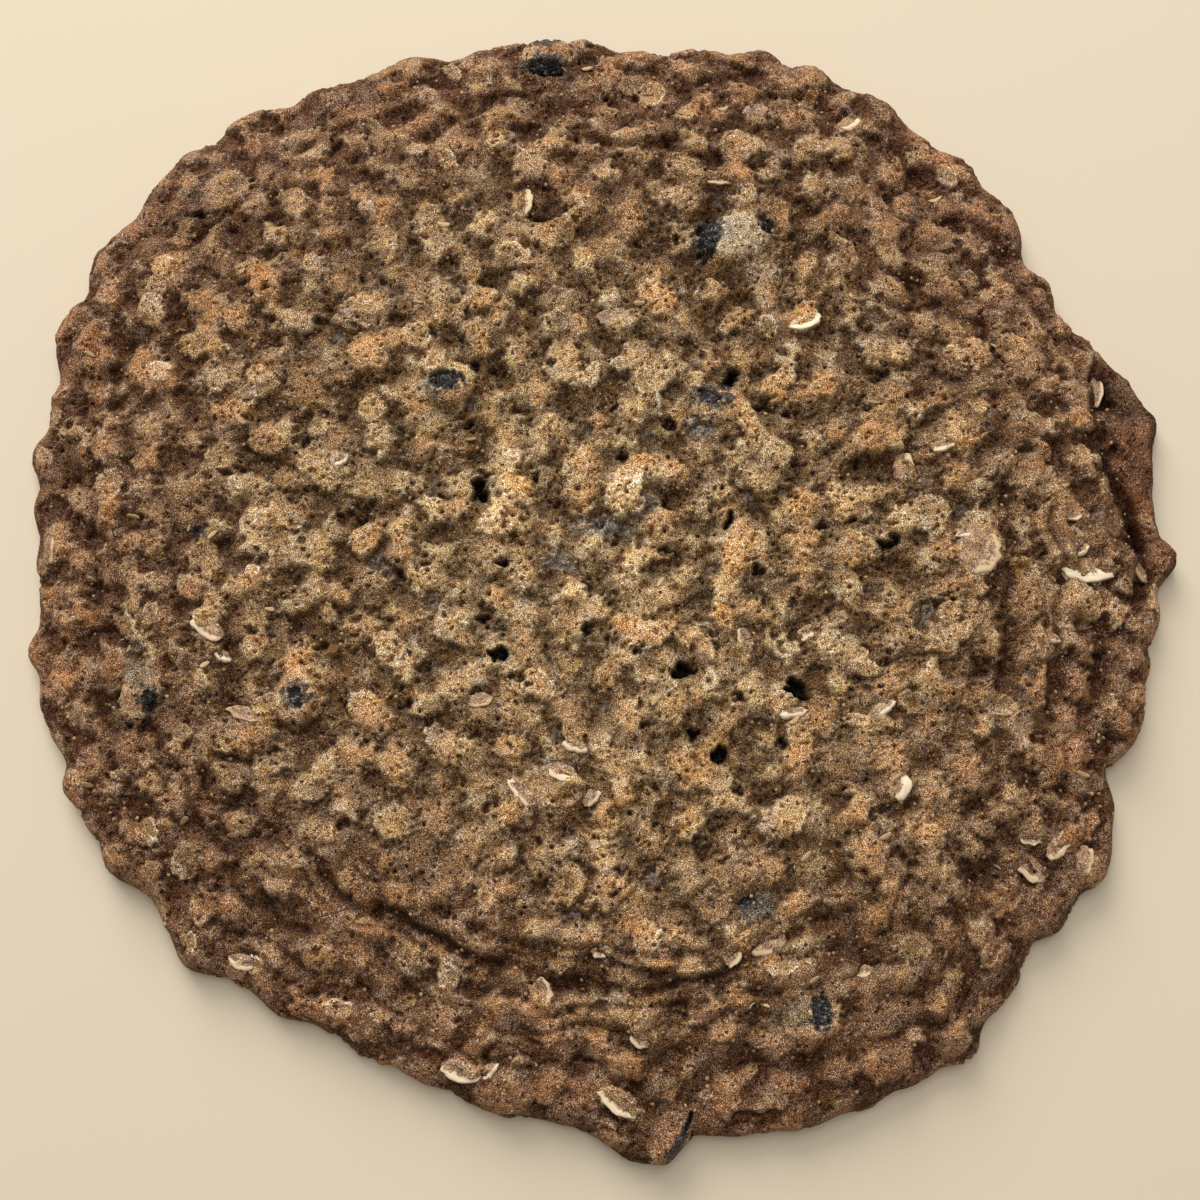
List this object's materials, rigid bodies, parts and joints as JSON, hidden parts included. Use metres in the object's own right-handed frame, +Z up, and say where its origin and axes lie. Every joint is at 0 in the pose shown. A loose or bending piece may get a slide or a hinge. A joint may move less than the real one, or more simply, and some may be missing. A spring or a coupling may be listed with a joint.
{
  "type": "oatmeal raisin cookie",
  "caption": "Large thin round baked oat cookie with a lobed rim, a slightly sunken middle, lumpy cratered top, oat flakes and raisins set in open sockets.",
  "frame": {"origin": "middle of the plan box of the cookie, on its flat baked underside", "axes": "+Z up out of the top crust, +X to the right and +Y away as the cookie was seen"},
  "size_m": [0.1614, 0.1606, 0.0118],
  "materials": {
    "baked_dough": "matt, porous, browned crust",
    "raisin_skin": "dark, wrinkled, slightly glossy"
  },
  "bodies": {
    "root": {"cookie": "baked_dough", "raisin_01": "raisin_skin", "raisin_02": "raisin_skin", "raisin_03": "raisin_skin", "raisin_04": "raisin_skin", "raisin_05": "raisin_skin", "raisin_06": "raisin_skin", "raisin_07": "raisin_skin", "raisin_08": "raisin_skin", "raisin_09": "raisin_skin"}
  },
  "joints": []
}
